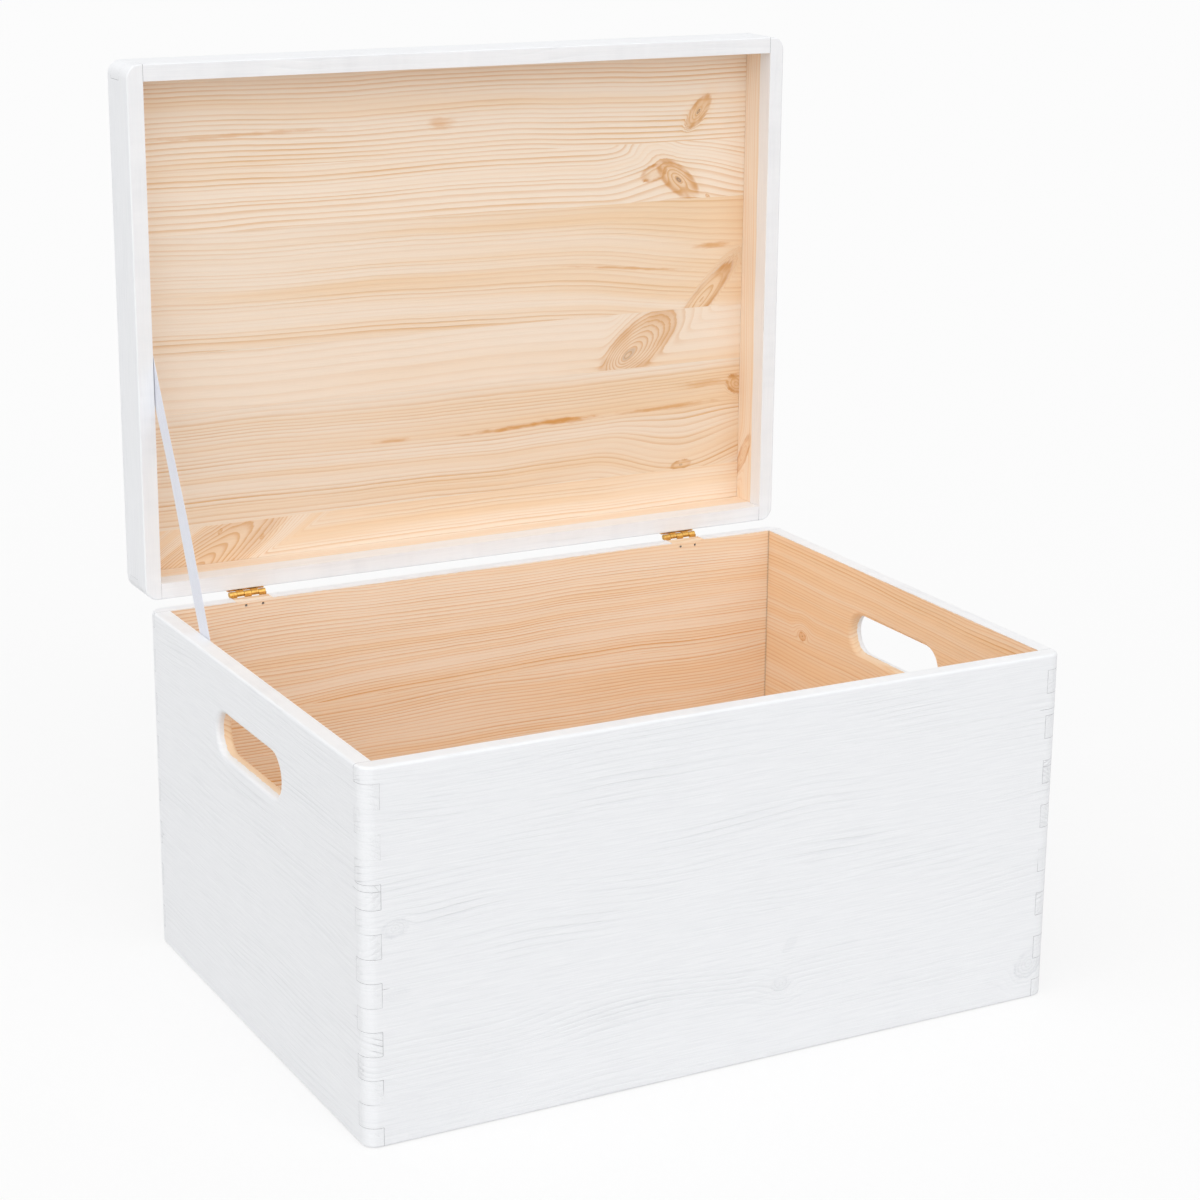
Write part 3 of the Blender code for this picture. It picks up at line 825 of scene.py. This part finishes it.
def plate(bm, outline, half):
    """A closed plate: its outline in space, and half its thickness as a vector."""
    near = [bm.verts.new((point - half) / MM) for point in outline]
    far = [bm.verts.new((point + half) / MM) for point in outline]
    bm.faces.new(near)
    bm.faces.new(reversed(far))
    for i in range(len(outline)):
        j = (i + 1) % len(outline)
        bm.faces.new((near[i], far[i], far[j], near[j]))


def level_plate(bm, plan, z):
    """A plate that lies flat at a height, from its outline seen from above."""
    plate(bm, [Vector((x, y, z)) for x, y in plan], Vector((0.0, 0.0, FILL / 2)))


def corner_plan(side_x, side_y):
    """The square of a corner joint seen from above, with its outer corner rounded."""
    middle = (HALF_W - CORNER_RADIUS, HALF_D - CORNER_RADIUS)
    radius = CORNER_RADIUS - RECESS
    points = [(IN_W, IN_D), (OUT_W, IN_D), *arc(middle, radius, 0.0), (IN_W, OUT_D)]
    return [(side_x * x, side_y * y) for x, y in points]


def seam_plan(wall, whole):
    """A wall seen from above, with or without its fingers."""
    half, inner, outer = (HALF_W, IN_D, OUT_D) if wall in LONG_WALLS else (HALF_D, IN_W, OUT_W)
    if whole:
        radius = CORNER_RADIUS - RECESS
        middle = (half - CORNER_RADIUS, outer + RECESS - CORNER_RADIUS)
        ends = [(half - RECESS, inner), *arc(middle, radius, 0.0)]
    else:
        ends = [(half - WALL - GAP, inner), (half - WALL - GAP, outer)]
    points = ends + [(-along, out) for along, out in reversed(ends)]
    side = -1.0 if wall in ("front", "left") else 1.0
    if wall in LONG_WALLS:
        return [(along, side * out) for along, out in points]
    return [(side * out, along) for along, out in points]


def upright_outline(inner, outer, low, high, base, top):
    """The side of a finger as (outwards, up) points; base and top are the ease and the rebate there."""
    low_ease, low_rebate = base
    high_ease, high_rebate = top
    shoulder = outer + RECESS - LIP
    points = [(inner, low)]
    if low_rebate:
        points = [(inner, low + low_rebate), (shoulder, low + low_rebate), (shoulder, low)]
    points += arc((outer - low_ease, low + low_ease), low_ease, -90.0) if low_ease else [(outer, low)]
    points += arc((outer - high_ease, high - high_ease), high_ease, 0.0) if high_ease else [(outer, high)]
    if high_rebate:
        return points + [(shoulder, high), (shoulder, high - high_rebate), (inner, high - high_rebate)]
    return points + [(inner, high)]


def corner_plates(bm, bounds, base, top):
    """Plates round every finger of the four corners; base and top are the ease and the rebate there."""
    plain = (0.0, 0.0)
    last = len(bounds) - 2
    for i, (low, high) in enumerate(zip(bounds, bounds[1:])):
        long_side = i % 2 == 1
        inner, outer = (IN_W, OUT_W) if long_side else (IN_D, OUT_D)
        face = upright_outline(
            inner, outer, low, high, base if i == 0 else plain, top if i == last else plain
        )
        for side_x in (-1, 1):
            for side_y in (-1, 1):
                if long_side:
                    outline = [Vector((side_x * out, side_y * (IN_D - GAP / 2), z)) for out, z in face]
                    plate(bm, outline, Vector((0.0, FILL / 2, 0.0)))
                else:
                    outline = [Vector((side_x * (IN_W - GAP / 2), side_y * out, z)) for out, z in face]
                    plate(bm, outline, Vector((FILL / 2, 0.0, 0.0)))
                if i < last:
                    level = high - GAP / 2 if long_side else high + GAP / 2
                    level_plate(bm, corner_plan(side_x, side_y), level)


def seam_between(lower, upper):
    """The height of the glue line between two boards."""
    return (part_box(lower)[1].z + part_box(upper)[0].z) / 2 * MM


def fill_piece(name, bm, bare_of, body):
    """The plates as one piece: white outside, with a few stretches of painted shade for open joints, and
    glue-coloured inside.
    """
    bmesh.ops.recalc_face_normals(bm, faces=bm.faces)
    mesh = bpy.data.meshes.new(name)
    bm.to_mesh(mesh)
    bm.free()
    piece = bpy.data.objects.new(name, mesh)
    scene.collection.objects.link(piece)
    material, tree, shader, (x, y, z) = new_material(name)
    near_side = (x.absolute() - HALF_W).ramp(*OPEN_SHADE_NEAR_CORNER)
    near_front = (y.absolute() - HALF_D).ramp(*OPEN_SHADE_NEAR_CORNER)
    # A few stretches near the outer corners are painted grey as the shade inside open joints
    open_joint_shade = noise(tree, x * 0.03, y * 0.03, z * 0.05, 2.0).ramp(-0.22, 0.02) * (near_side * near_front)
    white = mix(tree, open_joint_shade, PAINT_WHITE, OPEN_JOINT_SHADE)
    glue = mix(tree, noise(tree, x * 0.05, y * 0.05, z * 0.05).ramp(-0.3, 0.3), PALE_PINE, WARM_PINE)
    feed(tree, shader.inputs["Base Color"], mix(tree, bare_of(tree, x, y, z), white, glue))
    shader.inputs["Roughness"].default_value = 0.5
    mesh.materials.append(material)
    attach(piece, body)


def box_fill_bare(tree, x, y, z):
    """The share of the box's plates that is bare, as on the walls but without notches."""
    return box_bare(tree, x, y, z, slots=True, notches=False)


def lid_fill_bare(tree, x, y, z):
    """The share of the lid's plates that is bare: inside the frame, behind its white band."""
    inside = (y - PANEL_TOP).ramp(-1.0, -1.5) * outside_of(x, z, LID_MIDDLE).ramp(0.4, 0.2)
    return inside * (y - LID_RIM).ramp(*LID_GLUE_BAND)


box_bounds = [0.0] + [BASE_FINGER + FINGER * i for i in range(FINGERS_BETWEEN + 1)] + [RIM]
fill = bmesh.new()
corner_plates(fill, box_bounds, (BASE_EASE, BOTTOM + GAP), (RIM_EASE, 0.0))
for wall in WALLS:
    for index in (1, 2):
        seam = seam_between(f"{wall}_board_{index}", f"{wall}_board_{index + 1}")
        is_long_finger = (bisect(box_bounds, seam) - 1) % 2 == 1
        level_plate(fill, seam_plan(wall, is_long_finger == (wall in LONG_WALLS)), seam)
fill_piece("box_joint_fill", fill, box_fill_bare, "chest")

# The lid's plates are drawn with the lid shut and turned open about the hinges
shut_rim = AXIS.z + LID_RIM - AXIS.y
shut_panel = AXIS.z + PANEL_FACE - AXIS.y
shut_top = AXIS.z + PANEL_TOP - AXIS.y
lid_bounds = [shut_rim, shut_rim + FINGER, shut_rim + 2 * FINGER, shut_top]
fill = bmesh.new()
corner_plates(fill, lid_bounds, (LID_RIM_EASE, 0.0), (LID_TOP_EASE, shut_top - shut_panel + GAP))
seam_x = HALF_W - LIP - GAP
seam_low = shut_panel + RECESS
seam_high = shut_top - RECESS
seam_corners = [(-seam_x, seam_low), (seam_x, seam_low), (seam_x, seam_high), (-seam_x, seam_high)]
for index in range(1, len(LID_BOARDS)):
    seam = seam_between(f"lid_board_{index}", f"lid_board_{index + 1}")
    shut_y = AXIS.y - (seam - AXIS.z)
    plate(fill, [Vector((x, shut_y, z)) for x, z in seam_corners], Vector((0.0, FILL / 2, 0.0)))
open_lid = (
    Matrix.Translation(AXIS / MM)
    @ Matrix.Rotation(-math.pi / 2, 4, "X")
    @ Matrix.Translation(-AXIS / MM)
)
bmesh.ops.transform(fill, matrix=open_lid, verts=fill.verts)
fill_piece("lid_joint_fill", fill, lid_fill_bare, "lid")

# Satin ribbon, drawn taut between its two staples, in millimetres
RIBBON_WIDTH = 13.5
RIBBON_THICK = 0.22
SELVEDGE_THICK = 0.36
STAPLE_INSET = 7.0
FLOAT_PITCH = 0.34
RIB_PITCH = 0.5
BOW = 0.7
TWIST = math.radians(3.0)
RIBBON_SHARP_EDGE = math.radians(50.0)
ROWS = 90
COLUMNS = 12

# Where the thicker woven edges begin and end, as shares of half the width
SELVEDGE_FROM = 0.8
SELVEDGE_TO = 0.95


def middle_of(node):
    """The middle of a node's box, in millimetres."""
    low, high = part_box(node)
    return (low + high) / 2 * MM


def ribbon_mesh(start, end):
    """A closed strip with thicker woven edges, bowed and twisted a little between its ends."""
    along = (end - start).normalized()
    normal = Vector((1.0, 0.0, 0.0))
    across = normal.cross(along)
    bm = bmesh.new()
    rows = []
    for i in range(ROWS + 1):
        share = i / ROWS
        swell = math.sin(math.pi * share) ** 2
        turn = TWIST * math.sin(2.0 * math.pi * share) * swell
        sideways = across * math.cos(turn) + normal * math.sin(turn)
        upwards = normal * math.cos(turn) - across * math.sin(turn)
        spine = start.lerp(end, share) + normal * (BOW * swell)
        upper = []
        lower = []
        for j in range(COLUMNS + 1):
            aside = 2.0 * j / COLUMNS - 1.0
            thick = SELVEDGE_THICK if SELVEDGE_FROM < abs(aside) < SELVEDGE_TO else RIBBON_THICK
            place = spine + sideways * (aside * RIBBON_WIDTH / 2)
            upper.append(bm.verts.new((place + upwards * (thick / 2)) / MM))
            lower.append(bm.verts.new((place - upwards * (thick / 2)) / MM))
        rows.append(upper + lower[::-1])
    count = len(rows[0])
    for first, second in zip(rows, rows[1:]):
        for j in range(count):
            k = (j + 1) % count
            bm.faces.new((first[j], first[k], second[k], second[j]))
    bm.faces.new(rows[0])
    bm.faces.new(rows[-1])
    bmesh.ops.recalc_face_normals(bm, faces=bm.faces)
    mesh = bpy.data.meshes.new("satin_ribbon")
    bm.to_mesh(mesh)
    bm.free()
    mesh.shade_smooth()
    mesh.set_sharp_from_angle(angle=RIBBON_SHARP_EDGE)
    return mesh


def satin_material(start, end):
    """Woven satin: fine threads both ways, long floats along the ribbon and a soft sheen."""
    material, tree, shader, (_, y, z) = new_material("satin")
    along = (end - start).normalized()
    length = y * along.y + z * along.z
    width = y * along.z - z * along.y
    floats = (width * (2.0 * math.pi / FLOAT_PITCH)).math("SINE")
    ribs = (length * (2.0 * math.pi / RIB_PITCH)).math("SINE")
    slub = noise(tree, length * 0.05, width * 1.5, 0.0, 3.0)
    tone = (floats * 0.25 + slub + (ribs * 0.12)).ramp(-0.6, 0.6)
    feed(tree, shader.inputs["Base Color"], mix(tree, tone, SATIN_SHADE, SATIN))
    feed(tree, shader.inputs["Roughness"], slub * 0.2 + 0.38)
    shader.inputs["Sheen Weight"].default_value = 0.25
    shader.inputs["Sheen Roughness"].default_value = 0.4
    add_bump(tree, shader, floats * 0.5 + (ribs * 0.25), THREAD_RELIEF)
    return material


box_staple = middle_of("ribbon_staple_box")
lid_staple = middle_of("ribbon_staple_lid")
box_staple.x = lid_staple.x = middle_of("ribbon_stay").x
tail = (lid_staple - box_staple).normalized() * STAPLE_INSET
ribbon_start = box_staple - tail
ribbon_end = lid_staple + tail
ribbon = bpy.data.objects.new("satin_ribbon", ribbon_mesh(ribbon_start, ribbon_end))
scene.collection.objects.link(ribbon)
ribbon.data.materials.append(satin_material(ribbon_start, ribbon_end))
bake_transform(ribbon)
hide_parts("ribbon_stay")
flat_length = (ribbon_end - ribbon_start).length / MM

# Floor: white where the camera sees it, with a light shadow; its sizes are in metres
FLOOR_REACH = 20.0
FLOOR_DROP = 0.0003
FLOOR_LIFT = 0.7
FLOOR_BOUNCE = (0.62, 0.62, 0.62, 1.0)
FLOOR_SEEN = (0.94, 0.94, 0.94, 1.0)


def seen_by_camera(tree):
    """1 on rays from the camera and on mirror and glass rays, 0 on light that lights the object."""
    path = tree.nodes.new("ShaderNodeLightPath")
    rays = [Wire(tree, path.outputs[f"Is {kind} Ray"]) for kind in ("Camera", "Glossy", "Transmission")]
    return rays[0].most(rays[1]).most(rays[2])


def floor_material():
    """A matt floor, lifted towards white by the share FLOOR_LIFT where the camera sees it."""
    material = bpy.data.materials.new("floor")
    material.use_nodes = True
    tree = material.node_tree
    shader = tree.nodes["Principled BSDF"]
    shader.inputs["Roughness"].default_value = 0.9
    shader.inputs["Specular IOR Level"].default_value = 0.0
    seen = seen_by_camera(tree)
    feed(tree, shader.inputs["Base Color"], mix(tree, seen, FLOOR_BOUNCE, FLOOR_SEEN))
    white = tree.nodes.new("ShaderNodeEmission")
    join = tree.nodes.new("ShaderNodeMixShader")
    feed(tree, join.inputs[0], seen * FLOOR_LIFT)
    tree.links.new(shader.outputs[0], join.inputs[1])
    tree.links.new(white.outputs[0], join.inputs[2])
    tree.links.new(join.outputs[0], tree.nodes["Material Output"].inputs["Surface"])
    return material


floor_mesh = bpy.data.meshes.new("floor")
floor_grid = bmesh.new()
bmesh.ops.create_grid(floor_grid, x_segments=1, y_segments=1, size=FLOOR_REACH)
floor_grid.to_mesh(floor_mesh)
floor_grid.free()
floor = bpy.data.objects.new("floor", floor_mesh)
scene.collection.objects.link(floor)
floor.location.z = -FLOOR_DROP
floor_mesh.materials.append(floor_material())

# Light: a white surrounding, dimmer as a light than as a background, and a very soft sun
AMBIENT = 0.68
SUN_ENERGY = 1.75
SUN_SPREAD = math.radians(120.0)
SUN_DIRECTION = Vector((0.50, 0.75, -0.44))
world = bpy.data.worlds.new("studio")
world.use_nodes = True
scene.world = world
background = world.node_tree.nodes["Background"]
seen = seen_by_camera(world.node_tree)
feed(world.node_tree, background.inputs["Strength"], seen * (1.0 - AMBIENT) + AMBIENT)
background.inputs["Color"].default_value = WHITE

sun = bpy.data.lights.new("soft_key", "SUN")
sun.energy = SUN_ENERGY
sun.angle = SUN_SPREAD
key = bpy.data.objects.new("soft_key", sun)
scene.collection.objects.link(key)
key.rotation_mode = "QUATERNION"
key.rotation_quaternion = SUN_DIRECTION.to_track_quat("-Z", "Y")

# Camera, at the photograph's viewing angle: its place in metres, its lens and sensor in millimetres
YAW = math.radians(28.26)
PITCH = math.radians(16.42)
ROLL = math.radians(0.5)
CAMERA_PLACE = (-0.68870, -1.28507, 0.64053)
LENS = 85.5
SENSOR = 36.0
lens = bpy.data.cameras.new("camera")
lens.sensor_width = SENSOR
lens.lens = LENS
lens.clip_end = 100.0
camera = bpy.data.objects.new("camera", lens)
scene.collection.objects.link(camera)
forward = Vector((math.sin(YAW) * math.cos(PITCH), math.cos(YAW) * math.cos(PITCH), -math.sin(PITCH)))
camera.matrix_world = (
    Matrix.Translation(CAMERA_PLACE)
    @ forward.to_track_quat("-Z", "Y").to_matrix().to_4x4()
    @ Matrix.Rotation(ROLL, 4, "Z")
)
scene.camera = camera
